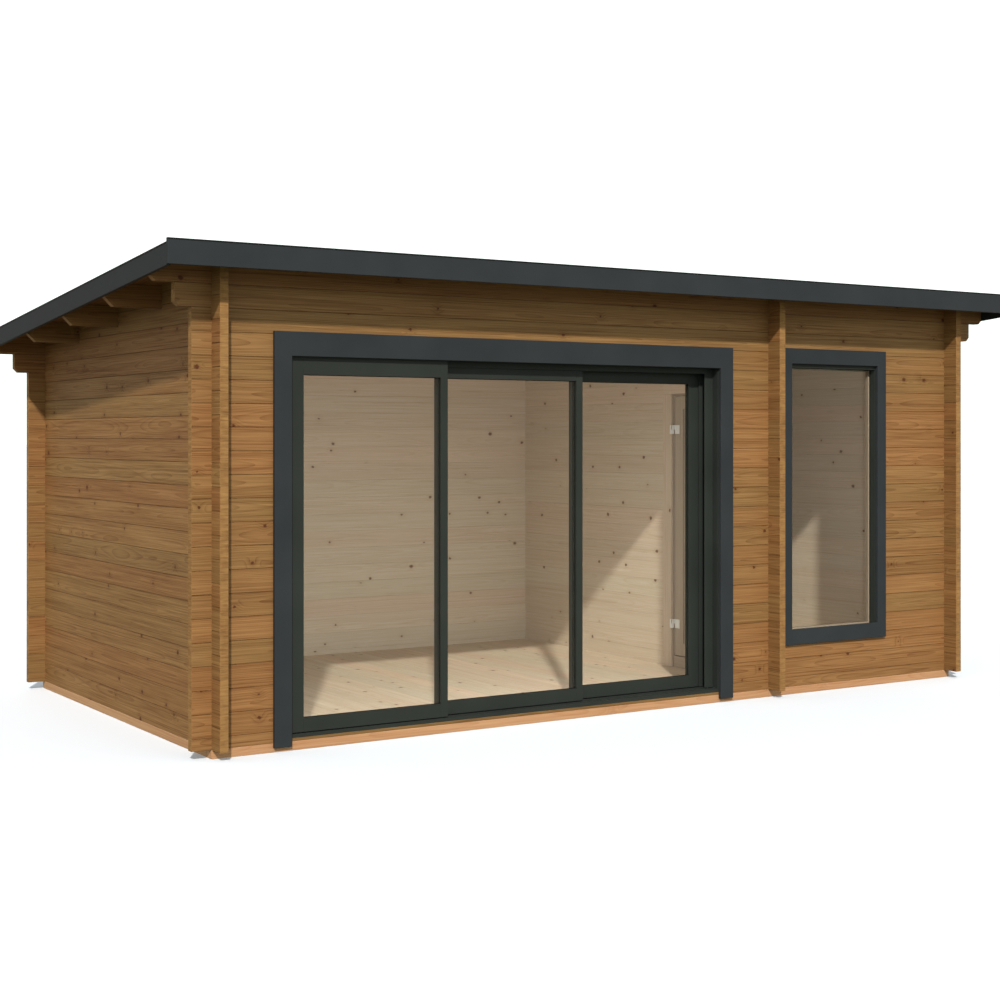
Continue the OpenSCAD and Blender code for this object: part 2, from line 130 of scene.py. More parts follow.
def prism(outline, axis, start, end, eases=(0.0, 0.0)):
    """A closed prism along an axis. Each end is drawn in by its ease across the outline's first direction."""
    first, second = [i for i in range(3) if i != axis]
    ease = max(eases)
    near = min(u for u, _ in outline) + ease
    far = max(u for u, _ in outline) - ease
    places = [(start, True), (start + ease, False)] if eases[0] else [(start, False)]
    places += [(end - ease, False), (end, True)] if eases[1] else [(end, False)]
    bm = bmesh.new()
    rings = []
    for place, eased in places:
        ring = []
        for u, v in outline:
            co = [0.0, 0.0, 0.0]
            co[axis] = place
            co[first] = min(max(u, near), far) if eased else u
            co[second] = v
            ring.append(bm.verts.new(co))
        rings.append(ring)
    count = len(outline)
    for ring, after in zip(rings, rings[1:]):
        for i in range(count):
            j = (i + 1) % count
            bm.faces.new((ring[i], ring[j], after[j], after[i]))
    bm.faces.new(rings[0])
    bm.faces.new(reversed(rings[-1]))
    bmesh.ops.recalc_face_normals(bm, faces=bm.faces)
    return bm


def everything(bm):
    return bm.verts[:] + bm.edges[:] + bm.faces[:]


def cut(bm, point, normal):
    """Takes off what lies on the normal's side of a plane, and closes the cut."""
    result = bmesh.ops.bisect_plane(
        bm, geom=everything(bm), plane_co=point, plane_no=normal, clear_outer=True)
    edges = [e for e in result["geom_cut"] if isinstance(e, bmesh.types.BMEdge)]
    if edges:
        bmesh.ops.edgeloop_fill(bm, edges=edges)


def split(bm, axis, place):
    """Divides the faces where they pass a place along an axis."""
    normal = Vector((axis == X, axis == Y, axis == Z))
    bmesh.ops.bisect_plane(bm, geom=everything(bm), plane_co=normal * place, plane_no=normal)


def soften(bm, width, segments=2):
    """Rounds the sharp edges."""
    edges = [e for e in bm.edges if e.is_manifold and e.calc_face_angle() > math.radians(28)]
    bmesh.ops.bevel(
        bm, geom=edges, offset=width, offset_type="OFFSET", segments=segments,
        profile=0.5, affect="EDGES", clamp_overlap=True)


def block(lowest, highest, width=EDGE_JOINERY):
    """A box with rounded edges."""
    y0, y1, z0, z1 = lowest[1], highest[1], lowest[2], highest[2]
    outline = [(y0, z0), (y1, z0), (y1, z1), (y0, z1)]
    bm = prism(outline, X, lowest[0], highest[0])
    if width:
        soften(bm, width)
    return bm


class Piece:
    """Gathers parts into one mesh. Each part keeps its own grain, so that no two boards look the same."""

    def __init__(self, name):
        self.name = name
        self.dice = random.Random(name)
        self.points, self.grain, self.facts = [], [], []
        self.faces, self.ends, self.sides = [], [], []

    def add(self, bm, axis, place=None, log=None, level=None):
        """Adds a part whose fibres run along an axis. place says where each of its points goes afterwards.

        Parts with the same log name are cut from one log, whose middle lies at level.
        """
        if not bm.faces:
            bm.free()
            return
        lowest = [min(v.co[i] for v in bm.verts) for i in range(3)]
        highest = [max(v.co[i] for v in bm.verts) for i in range(3)]
        thin, wide = sorted((i for i in range(3) if i != axis), key=lambda i: highest[i] - lowest[i])
        dice = random.Random(log) if log else self.dice
        along = dice.uniform(0, 60)
        pith = dice.choice((-1, 1)) * dice.uniform(0.012, 0.05)
        shift = dice.uniform(-0.03, 0.03)
        tone = dice.random()
        middle_wide = (lowest[wide] + highest[wide]) / 2 if level is None else level
        first = len(self.points)
        bm.verts.ensure_lookup_table()
        for vert in bm.verts:
            co = vert.co
            across = (co[wide] - lowest[wide]) / (highest[wide] - lowest[wide])
            self.grain.append((
                co[axis] + along,
                co[thin] - (lowest[thin] + highest[thin]) / 2 + pith,
                co[wide] - middle_wide + shift))
            self.facts.append((tone, 2 * across - 1))
            self.points.append(place(co) if place else co.copy())
        bm.verts.index_update()
        for face in bm.faces:
            self.faces.append([v.index + first for v in face.verts])
            self.ends.append(abs(face.normal[axis]) > 0.9)
            middle = face.calc_center_median()
            middle = place(middle) if place else middle
            self.sides.append(int(indoors(middle + face.normal * 0.01)))
        bm.free()

    def build(self, materials, body="house", replaces=()):
        """Makes the object. A second material is the one indoors, and a third the one on sawn ends."""
        mesh = bpy.data.meshes.new(self.name)
        mesh.from_pydata(self.points, [], self.faces)
        for material in materials:
            mesh.materials.append(material)
        if len(materials) > 2:
            self.sides = [2 if end else side for side, end in zip(self.sides, self.ends)]
        if len(materials) > 1:
            mesh.polygons.foreach_set("material_index", self.sides)
        grain = mesh.attributes.new("grain", "FLOAT_VECTOR", "POINT")
        grain.data.foreach_set("vector", [c for co in self.grain for c in co])
        for index, name in enumerate(("tone", "band")):
            values = mesh.attributes.new(name, "FLOAT", "POINT")
            values.data.foreach_set("value", [fact[index] for fact in self.facts])
        mesh.update()
        return show(self.name, mesh, body, replaces)


def show(name, mesh, body, replaces):
    obj = bpy.data.objects.new(name, mesh)
    bpy.context.scene.collection.objects.link(obj)
    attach(obj, body)
    if replaces:
        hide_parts(*replaces)
    return obj


def refined(node, name, width, material, body="house"):
    """A copy of a CAD node with its edges eased, which stands for it."""
    bm = bmesh.new()
    bm.from_mesh(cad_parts[node].data)
    bmesh.ops.remove_doubles(bm, verts=bm.verts, dist=1e-5)
    bmesh.ops.dissolve_limit(bm, angle_limit=math.radians(1), verts=bm.verts, edges=bm.edges)
    soften(bm, width)
    mesh = bpy.data.meshes.new(name)
    bm.to_mesh(mesh)
    bm.free()
    mesh.materials.append(material)
    return show(name, mesh, body, (node,))


# ---------------------------------------------------------------- Materials


def srgb(red, green, blue):
    """A screen colour, from 0 to 255, as the linear colour that shaders take."""
    def linear(value):
        value /= 255
        return value / 12.92 if value <= 0.04045 else ((value + 0.055) / 1.055) ** 2.4
    return (linear(red), linear(green), linear(blue), 1.0)


class Nodes:
    """A node tree, with short calls for the nodes that it needs."""

    def __init__(self, owner):
        owner.use_nodes = True
        self.tree = owner.node_tree
        self.tree.nodes.clear()

    def node(self, kind, inputs, **settings):
        node = self.tree.nodes.new("ShaderNode" + kind)
        for key, value in settings.items():
            setattr(node, key, value)
        for key, value in inputs.items():
            if isinstance(value, bpy.types.NodeSocket):
                self.tree.links.new(value, node.inputs[key])
            else:
                node.inputs[key].default_value = value
        return node

    def math(self, operation, *values):
        return self.node("Math", dict(enumerate(values)), operation=operation).outputs[0]

    def attribute(self, name, output):
        return self.node("Attribute", {}, attribute_name=name).outputs[output]

    def join(self, x, y, z):
        return self.node("CombineXYZ", {"X": x, "Y": y, "Z": z}).outputs[0]

    def split(self, vector):
        return self.node("SeparateXYZ", {0: vector}).outputs

    def scaled(self, coordinates, along, across):
        """A place in the grain, with its own scale along and across the fibres."""
        return self.join(
            self.math("MULTIPLY", coordinates[0], along),
            self.math("MULTIPLY", coordinates[1], across),
            self.math("MULTIPLY", coordinates[2], across))

    def noise(self, vector, scale=1.0, detail=2.0, output=0, roughness=0.5):
        inputs = {"Vector": vector, "Scale": scale, "Detail": detail, "Roughness": roughness}
        return self.node("TexNoise", inputs).outputs[output]

    def remap(self, value, low_in, high_in, low_out=0.0, high_out=1.0, smooth=False):
        inputs = {
            "Value": value, "From Min": low_in, "From Max": high_in, "To Min": low_out, "To Max": high_out}
        kind = "SMOOTHSTEP" if smooth else "LINEAR"
        return self.node("MapRange", inputs, interpolation_type=kind).outputs[0]

    def blend(self, factor, first, second, kind="MIX"):
        inputs = {0: factor, 6: first, 7: second}
        return self.node("Mix", inputs, data_type="RGBA", blend_type=kind).outputs[2]

    def bump(self, height, strength, distance):
        return self.node("Bump", {"Height": height, "Strength": strength, "Distance": distance}).outputs[0]

    def principled(self, **inputs):
        return self.node("BsdfPrincipled", {k.replace("_", " "): v for k, v in inputs.items()}).outputs[0]


class Surface(Nodes):
    """The node tree of a new material."""

    def __init__(self, name):
        self.material = bpy.data.materials.new(name)
        super().__init__(self.material)

    def finish(self, shader):
        self.node("OutputMaterial", {"Surface": shader})
        return self.material


def knots_in(s, grain, tone, share, smallest, largest):
    """Knots scattered along a face: how much of a knot is here, and how near one is.

    There is at most one in each cell. Smallest and largest are their radii in metres.
    """
    cell, drawn_out, halo_reach, wobble = 0.25, 0.8, 0.045, 0.012
    spot = s.join(
        s.math("MULTIPLY", grain[0], drawn_out / cell),
        s.math("MULTIPLY_ADD", tone, 37.0, s.math("MULTIPLY", grain[2], 1.0 / cell)), 0.0)
    cells = s.node("TexVoronoi", {"Vector": spot, "Scale": 1.0}, voronoi_dimensions="2D")
    away = s.math("MULTIPLY", cells.outputs["Distance"], cell)
    chance = s.split(cells.outputs["Color"])
    present = s.math("LESS_THAN", chance[0], share)
    radius = s.remap(chance[1], 0.0, 1.0, smallest, largest)
    ragged = s.math("SUBTRACT", away, wobble / 2)
    ragged = s.math("MULTIPLY_ADD", s.noise(s.scaled(grain, 110, 110)), wobble, ragged)
    core = s.math("MULTIPLY", present, s.remap(s.math("DIVIDE", ragged, radius), 0.7, 1.6, 1.0, 0.0, True))
    halo = s.math("MULTIPLY", present, s.remap(away, 0.0, halo_reach, 1.0, 0.0, True))
    return core, halo


def rings_in(s, grain, halo):
    """Year rings round a wandering pith, which the knots push aside."""
    ring, push = 0.0075, 0.012
    wander = s.split(s.noise(s.scaled(grain, 1.3, 3.0), detail=1.0, output=1))
    depth = s.math("MULTIPLY_ADD", s.math("SUBTRACT", wander[0], 0.5), 0.06, grain[1])
    height = s.math("MULTIPLY_ADD", s.math("SUBTRACT", wander[1], 0.5), 0.06, grain[2])
    squares = s.math("ADD", s.math("MULTIPLY", depth, depth), s.math("MULTIPLY", height, height))
    radial = s.math("MULTIPLY_ADD", halo, push, s.math("SQRT", squares))
    return s.math("POWER", s.math("FRACT", s.math("MULTIPLY", radial, 1 / ring)), 3.0)


def wood(name, early, late, knot_colour, figure=1.0, knots=(0.5, 0.0025, 0.0065), cast=0.06, edge=0.3):
    """Spruce: fine streaks and fibres, rings, small dark knots, and a tone for each board.

    figure is the strength of the grain, knots their share of the cells and their smallest and largest radius,
    cast how far the boards differ in colour, and edge how dark a board's edges are, as stain and painted shade
    in the grooves.
    """
    s = Surface(name)
    grain = s.split(s.attribute("grain", "Vector"))
    tone = s.attribute("tone", "Fac")
    band = s.attribute("band", "Fac")
    core, halo = knots_in(s, grain, tone, *knots)
    rings = rings_in(s, grain, halo)

    streak = s.noise(s.scaled(grain, 1.6, 110), detail=3.0, roughness=0.6)
    line = s.remap(s.noise(s.scaled(grain, 1.0, 190), detail=1.0), 0.60, 0.68, 0.0, 1.0, True)
    fibre = s.noise(s.scaled(grain, 8, 420), detail=2.0)
    patch = s.noise(s.scaled(grain, 1.1, 9), detail=1.0)
    dark = s.math("MULTIPLY_ADD", s.math("SUBTRACT", rings, 0.25), 0.32 * figure, 0.40)
    dark = s.math("MULTIPLY_ADD", s.math("SUBTRACT", streak, 0.5), 1.25 * figure, dark)
    dark = s.math("MULTIPLY_ADD", line, 0.26 * figure, dark)
    dark = s.math("MULTIPLY_ADD", s.math("SUBTRACT", fibre, 0.5), 0.5 * figure, dark)
    dark = s.math("MULTIPLY_ADD", s.math("SUBTRACT", patch, 0.5), 0.4 * figure, dark)
    dark = s.math("MULTIPLY_ADD", halo, 0.18, dark)
    shade = s.blend(s.remap(dark, 0.0, 1.0), early, late)

    # Each board leans to red or to yellow, and is lighter or darker than the next
    lean = s.blend(tone, (1 + cast, 1 - 0.4 * cast, 1 - cast, 1), (1 - cast, 1 + 0.4 * cast, 1.0, 1))
    level = s.math("FRACT", s.math("MULTIPLY", tone, 7.31))
    level = s.remap(level, 0.0, 1.0, 1 - cast, 1 + cast)
    shade = s.blend(1.0, shade, lean, "MULTIPLY")
    shade = s.blend(1.0, shade, s.join(level, level, level), "MULTIPLY")
    shade = s.blend(s.math("MULTIPLY", core, 0.85), shade, knot_colour)
    # Both edges of each board are darkened: partly stain in the joints, partly painted shade standing in for
    # the grooves' shadow
    edge_stain_and_shade = s.remap(s.math("ABSOLUTE", band), 0.93, 1.0, 0.0, edge, True)
    shade = s.blend(edge_stain_and_shade, shade, tuple(0.35 * c for c in late[:3]) + (1.0,))

    relief = s.math("MULTIPLY_ADD", fibre, 0.6, s.math("MULTIPLY", core, -0.6))
    relief = s.math("MULTIPLY_ADD", rings, 0.4, relief)
    gloss = s.math("MULTIPLY_ADD", s.math("SUBTRACT", streak, 0.5), 0.3, 0.6)
    shader = s.principled(
        Base_Color=shade, Roughness=gloss, Specular_IOR_Level=0.2, Normal=s.bump(relief, 0.3, 0.0006))
    return s.finish(shader)


def sawn_ends(name, light, dark):
    """Sawn and stained ends of logs: short flat streaks from the saw, and a tone for each log."""
    s = Surface(name)
    place = s.node("TexCoord", {}).outputs["Object"]
    x, y, z = s.split(place)
    saw = s.noise(
        s.join(s.math("MULTIPLY", x, 14), s.math("MULTIPLY", y, 14), s.math("MULTIPLY", z, 160)), detail=3.0)
    patch = s.noise(place, scale=26.0)
    tone = s.attribute("tone", "Fac")
    mix = s.math("MULTIPLY_ADD", s.math("SUBTRACT", saw, 0.5), 1.7, 0.45)
    mix = s.math("MULTIPLY_ADD", s.math("SUBTRACT", patch, 0.5), 0.6, mix)
    mix = s.math("MULTIPLY_ADD", s.math("SUBTRACT", tone, 0.5), 0.25, mix)
    shade = s.blend(s.remap(mix, 0.0, 1.0), light, dark)
    return s.finish(s.principled(
        Base_Color=shade, Roughness=0.75, Specular_IOR_Level=0.15, Normal=s.bump(saw, 0.3, 0.0006)))


def paint(name, colour, roughness=0.5, grainy=1.0, specular=0.15):
    """Opaque paint over planed wood, or over smooth metal where grainy is 0."""
    s = Surface(name)
    grain = s.split(s.attribute("grain", "Vector"))
    place = s.node("TexCoord", {}).outputs["Object"]
    cloud = s.noise(place, scale=3.5, detail=3.0)
    peel = s.noise(place, scale=420.0, detail=1.0)
    fibre = s.noise(s.scaled(grain, 5, 160), detail=2.0)
    lighter = tuple(c * 1.1 for c in colour[:3]) + (1.0,)
    darker = tuple(c * 0.93 for c in colour[:3]) + (1.0,)
    shade = s.blend(s.remap(cloud, 0.3, 0.7), darker, lighter)
    relief = s.math("MULTIPLY_ADD", fibre, grainy, s.math("MULTIPLY", peel, 0.35))
    gloss = s.math("MULTIPLY_ADD", s.math("SUBTRACT", cloud, 0.5), 0.25, roughness)
    shader = s.principled(
        Base_Color=shade, Roughness=gloss, Specular_IOR_Level=specular, Normal=s.bump(relief, 0.25, 0.0004))
    return s.finish(shader)


def rubber(name):
    s = Surface(name)
    place = s.node("TexCoord", {}).outputs["Object"]
    dust = s.noise(place, scale=60.0, detail=3.0)
    shade = s.blend(s.remap(dust, 0.45, 0.75), srgb(16, 17, 17), srgb(30, 31, 31))
    return s.finish(s.principled(Base_Color=shade, Roughness=0.75, Specular_IOR_Level=0.2))


def felt(name):
    """Mineral roofing felt: dark granules of mixed greys, and a near-black line along both edges of each row.
    """
    s = Surface(name)
    place = s.node("TexCoord", {}).outputs["Object"]
    granules = s.node("TexVoronoi", {"Vector": place, "Scale": 420.0})
    speck = s.split(granules.outputs["Color"])
    patch = s.noise(place, scale=1.7, detail=4.0)
    shade = s.blend(speck[0], srgb(38, 40, 42), srgb(74, 77, 79))
    shade = s.blend(s.remap(patch, 0.35, 0.7, 0.0, 0.5), shade, srgb(50, 51, 49))
    row_edge = s.remap(s.math("ABSOLUTE", s.attribute("band", "Fac")), 0.97, 0.985, 0.0, 0.8, True)
    shade = s.blend(row_edge, shade, srgb(20, 21, 22))
    relief = s.math("SUBTRACT", 1.0, granules.outputs["Distance"])
    shader = s.principled(
        Base_Color=shade, Roughness=0.92, Specular_IOR_Level=0.2, Normal=s.bump(relief, 0.5, 0.0012))
    return s.finish(shader)


def white_lacquer(name):
    s = Surface(name)
    place = s.node("TexCoord", {}).outputs["Object"]
    cloud = s.noise(place, scale=30.0, detail=2.0)
    shade = s.blend(cloud, srgb(222, 222, 218), srgb(236, 236, 233))
    gloss = s.remap(cloud, 0.3, 0.7, 0.28, 0.42)
    return s.finish(s.principled(Base_Color=shade, Roughness=gloss))


def clear_glass(name):
    """A pane with two faces: each mirrors a little, more at a flat angle, and lets the rest through."""
    s = Surface(name)
    straight_on = 0.045
    facing = s.node("LayerWeight", {"Blend": 0.5}).outputs["Facing"]
    mirrored = s.math("MULTIPLY_ADD", s.math("POWER", facing, 5.0), 0.95, straight_on)
    clear = s.node("BsdfTransparent", {"Color": (0.955, 0.965, 0.955, 1.0)}).outputs[0]
    mirror = s.principled(Base_Color=(0.95, 0.97, 0.96, 1.0), Metallic=1.0, Roughness=0.02)
    return s.finish(s.node("MixShader", {0: mirrored, 1: clear, 2: mirror}).outputs[0])


def studio_floor(name):
    s = Surface(name)
    return s.finish(s.principled(Base_Color=(0.88, 0.93, 1.0, 1.0), Roughness=0.9, Specular_IOR_Level=0.0))


LOGS = wood(
    "stained_logs", srgb(153, 114, 71), srgb(104, 66, 34), srgb(76, 34, 17), figure=1.15,
    knots=(0.8, 0.003, 0.010), cast=0.055, edge=0.35)
LOGS_IN = wood(
    "pale_logs", srgb(214, 200, 183), srgb(183, 160, 134), srgb(98, 64, 44), figure=0.75,
    knots=(0.85, 0.003, 0.010), cast=0.03, edge=0.0)
ENDS = sawn_ends("sawn_log_ends", srgb(158, 119, 72), srgb(112, 77, 42))
# Brown stain of the roof boards outdoors, made darker than the logs' stain: painted shade for the underside of
# the eaves
SOFFIT_STAIN_AND_SHADE = wood("soffit_stain_with_painted_shade", srgb(126, 90, 52), srgb(90, 60, 32), srgb(40, 24, 13), cast=0.06)
TIMBER = wood("raw_timber", srgb(197, 157, 118), srgb(169, 121, 84), srgb(92, 56, 34), cast=0.05, edge=0.1)
THRESHOLD = wood("stained_threshold", srgb(146, 108, 66), srgb(104, 70, 38), srgb(40, 24, 13), edge=0.1)
JOINERY = wood(
    "planed_joinery", srgb(182, 168, 152), srgb(158, 138, 117), srgb(88, 56, 38), figure=0.6,
    knots=(0.4, 0.002, 0.005), cast=0.03, edge=0.3)
FLOOR = wood(
    "floor_spruce", srgb(218, 203, 184), srgb(184, 158, 132), srgb(84, 54, 35), figure=1.0,
    knots=(0.85, 0.004, 0.010), cast=0.04, edge=0.1)
PAINT = paint("anthracite_paint", srgb(49, 52, 55), specular=0.06)
FRAME = paint("anthracite_powder", srgb(45, 49, 46), roughness=0.42, grainy=0.0)
TRIM = paint("edging_strip", srgb(27, 29, 30), roughness=0.42, grainy=0.0)
RUBBER = rubber("black_gasket")
FELT = felt("mineral_felt")
WHITE = white_lacquer("white_lacquer")
GLASS = clear_glass("clear_glass")

# ---------------------------------------------------------------- Logs


def log_face(u, inward, z0, z1, shell):
    """One face of a log, from bed to top, with an open joint at both. Indoors the joints are finer."""
    inside = shell[0] + HAIR < u < shell[1] - HAIR
    ease, half = (FINE_EASE, FINE_JOINT / 2) if inside else (LOG_EASE, LOG_JOINT / 2)
    deep, eased = u + inward * JOINT_DEPTH, u + inward * ease
    return [
        (deep, z0 + HAIR / 2), (deep, z0 + half), (eased, z0 + half), (u, z0 + ease),
        (u, z1 - ease), (eased, z1 - half), (deep, z1 - half), (deep, z1 - HAIR / 2)]


def log_outline(u0, u1, z0, z1, shell):
    """Section of a tongued log between two faces. The shell is the outer faces of the house on that axis."""
    return log_face(u0, 1, z0, z1, shell) + log_face(u1, -1, z0, z1, shell)[::-1]


def courses(bottom, top, first):
    """Bottom and top of each log between two heights. The joints lie at first plus whole courses."""
    least = 0.01
    joints = [bottom]
    joint = first
    while joint < top - least:
        if joint > bottom + least:
            joints.append(joint)
        joint += COURSE
    joints.append(top)
    return list(zip(joints, joints[1:]))


def trim_to_roof(bm):
    cut(bm, Vector((0, 0, roof_under(0))), UP)


def split_at_walls(bm):
    """Divides faces inside the outer walls, so that each part is either outdoors or indoors."""
    for axis, place in ((X, (WEST + WEST_IN) / 2), (X, (EAST + EAST_IN) / 2),
                        (Y, (SOUTH + SOUTH_IN) / 2), (Y, (NORTH + NORTH_IN) / 2)):
        split(bm, axis, place)


def cut_lower_corners(bm, start, end, z, size):
    """Cuts the lower corner off both ends of a log or purlin along X."""
    cut(bm, Vector((start + size, 0, z)), Vector((-1, 0, -1)))
    cut(bm, Vector((end - size, 0, z)), Vector((1, 0, -1)))


def log_level(z0):
    """Middle of the whole log that a part from z0 upwards is cut from."""
    first = BASE_TOP - COURSE / 2
    return first + (int((z0 + LOG_EASE - first) / COURSE) + 0.5) * COURSE


def wall_along_x(node, wall, corbels=False):
    """Logs of a front or back wall. The last two reach further out where the wall has corbels."""
    lowest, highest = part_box(node)
    piece = Piece(node + "_logs")
    rows = courses(lowest.z, highest.z, BASE_TOP + COURSE / 2)
    eases = (END_EASE if lowest.x < WEST else 0.0, END_EASE if highest.x > EAST else 0.0)
    for index, (z0, z1) in enumerate(rows):
        from_top = len(rows) - 1 - index
        back = CORBEL_BACK[min(from_top, 2)] if corbels else 0.0
        x0, x1 = lowest.x + back, highest.x - back
        under_roof = z1 > roof_under(highest.y) - LOG_EASE
        outline = log_outline(lowest.y, highest.y, z0, z1 + (COURSE if under_roof else 0.0), (SOUTH, NORTH))
        bm = prism(outline, X, x0, x1, eases)
        if corbels and from_top < 2:
            cut_lower_corners(bm, x0, x1, z0, CORBEL_CUT)
        if under_roof:
            trim_to_roof(bm)
        split_at_walls(bm)
        level = log_level(z0)
        piece.add(bm, X, log=f"{wall} {level:.3f}", level=level)
    return piece.build([LOGS, LOGS_IN, ENDS], replaces=(node,))


def wall_along_y(node, wall):
    """Logs of a side wall or of the partition, cut to the slope of the roof."""
    lowest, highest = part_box(node)
    piece = Piece(node + "_logs")
    eases = (END_EASE if lowest.y < SOUTH else 0.0, END_EASE if highest.y > NORTH else 0.0)
    for z0, z1 in courses(lowest.z, highest.z, BASE_TOP + COURSE):
        last = z1 == highest.z
        outline = log_outline(lowest.x, highest.x, z0, z1 + (COURSE if last else 0.0), (WEST, EAST))
        bm = prism(outline, Y, lowest.y, highest.y, eases)
        if z1 > roof_under(highest.y) - LOG_EASE:
            trim_to_roof(bm)
        split_at_walls(bm)
        piece.add(bm, Y, log=f"{wall} {z0:.3f}")
    return piece.build([LOGS, LOGS_IN, ENDS], replaces=(node,))


def walls():
    for node in ("front_wall_left", "front_wall_middle", "front_wall_under_window", "front_wall_right"):
        wall_along_x(node, "front")
    wall_along_x("front_wall_top", "front top", corbels=True)
    wall_along_x("back_wall", "back", corbels=True)
    wall_along_y("left_wall", "left")
    wall_along_y("right_wall", "right")
    for node in ("partition_front", "partition_back", "partition_over_door"):
        wall_along_y(node, "partition")
    piece = Piece("partition_under_door_log")
    piece.add(block(*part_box("partition_under_door")), Y)
    piece.build([LOGS_IN], replaces=("partition_under_door",))


def purlin(node):
    lowest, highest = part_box(node)
    piece = Piece(node + "_timber")
    bm = block(lowest, (highest.x, highest.y, highest.z + COURSE), EDGE_BOARD)
    cut_lower_corners(bm, lowest.x, highest.x, lowest.z, PURLIN_CUT)
    trim_to_roof(bm)
    split_at_walls(bm)
    piece.add(bm, X)
    piece.build([LOGS, LOGS_IN, ENDS], replaces=(node,))


# ---------------------------------------------------------------- Base and floor


def timbers(name, axis, boxes, material, replaces, width=EDGE_TIMBER):
    """Separate beams or boards with rounded edges, all running along one axis."""
    piece = Piece(name)
    for lowest, highest in boxes:
        piece.add(block(lowest, highest, width), axis)
    return piece.build([material], replaces=replaces)


def base():
    lowest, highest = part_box("base_long_beams")
    cross_low, cross_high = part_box("base_cross_beams")
    beam = cross_low.y - lowest.y
    timbers(
        "base_long_timbers", X,
        [(lowest, (highest.x, cross_low.y, highest.z)), ((lowest.x, cross_high.y, lowest.z), highest)],
        TIMBER, ("base_long_beams",))
    middle = (low("partition_front").x + high("partition_front").x) / 2
    starts = (cross_low.x, middle - beam / 2, cross_high.x - beam)
    timbers(
        "base_cross_timbers", Y,
        [((x, cross_low.y, lowest.z), (x + beam, cross_high.y, highest.z)) for x in starts],
        TIMBER, ("base_cross_beams",))


def floor_board(piece, x0, x1, y0, y1, z0, z1):
    """One board along Y with eased upper edges."""
    ease = FLOOR_BOARD_EASE
    a, b = x0 + BOARD_JOINT / 2, x1 - BOARD_JOINT / 2
    outline = [(a, z0), (b, z0), (b, z1 - ease), (b - ease, z1), (a + ease, z1), (a, z1 - ease)]
    piece.add(prism(outline, Y, y0, y1), Y)


def board_edges(start, end, width):
    """Edges of boards of about one width that fill a stretch."""
    count = round((end - start) / width)
    return [start + (end - start) * i / count for i in range(count + 1)]


def floor(node, notch=None):
    """Boards along Y. The notch, if any, is the low and high corner of what they stop short of."""
    lowest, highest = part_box(node)
    piece = Piece(node + "_boards")
    edges = board_edges(lowest.x, highest.x, FLOOR_BOARD_W)
    if notch:
        edges = sorted(edges + [notch[0].x, notch[1].x])
    for x0, x1 in zip(edges, edges[1:]):
        meets = notch and notch[0].x - 1e-6 < (x0 + x1) / 2 < notch[1].x + 1e-6
        floor_board(piece, x0, x1, notch[1].y if meets else lowest.y, highest.y, lowest.z, highest.z)
    piece.build([FLOOR], replaces=(node,))


def floors():
    clear = Vector((FLOOR_CLEAR, FLOOR_CLEAR, 0.0))
    threshold_low, threshold_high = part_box("door_threshold")
    floor("floor_main_room", (threshold_low - clear, threshold_high + clear))
    floor("floor_small_room")
    timbers(
        "door_threshold_board", X, [(threshold_low, threshold_high)], THRESHOLD,
        ("door_threshold",), EDGE_BOARD)


# ---------------------------------------------------------------- Roof


def roof_boards():
    """Tongued boards from front to back, with a V joint below, brown outdoors and pale indoors."""
    piece = Piece("roof_boards_planks")
    ease = ROOF_BOARD_EASE
    edges = board_edges(ROOF_LOW.x, ROOF_HIGH.x, ROOF_BOARD_W)
    seat = ROOF_LOW.z - roof_under(ROOF_HIGH.y)

    def on_slope(co):
        return Vector((co.x, co.y, co.z + roof_under(co.y) + seat))

    for x0, x1 in zip(edges, edges[1:]):
        a, b = x0 + BOARD_JOINT / 2, x1 - BOARD_JOINT / 2
        top = ROOF_BOARD_T - seat
        outline = [(a + ease, 0), (b - ease, 0), (b, ease), (b, top), (a, top), (a, ease)]
        bm = prism(outline, Y, ROOF_LOW.y, ROOF_HIGH.y)
        split_at_walls(bm)
        piece.add(bm, Y, place=on_slope)
    piece.build([SOFFIT_STAIN_AND_SHADE, LOGS_IN], replaces=("roof_boards",))


def roof_felt():
    """Rows of felt across the roof, each lapped over the row below it."""
    lowest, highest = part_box("roof_covering")
    piece = Piece("roof_covering_felt")

    def on_roof(co):
        return Vector((co.x, co.y, co.z + roof_under(co.y) + ROOF_BOARD_T + HAIR))

    back = highest.y
    while back > lowest.y + FELT_LAP:
        front = max(back - FELT_ROW, lowest.y)
        lift = 0.0 if back == highest.y else FELT_T
        lap_end = back - FELT_LAP
        outline = [
            (back, lift), (back, lift + FELT_T), (lap_end, lift + FELT_T), (front, FELT_T), (front, 0.0),
            (lap_end, lift / 2)]
        piece.add(prism(outline, X, lowest.x, highest.x), X, place=on_roof)
        back = front + FELT_LAP if front > lowest.y else lowest.y
    piece.build([FELT], replaces=("roof_covering",))


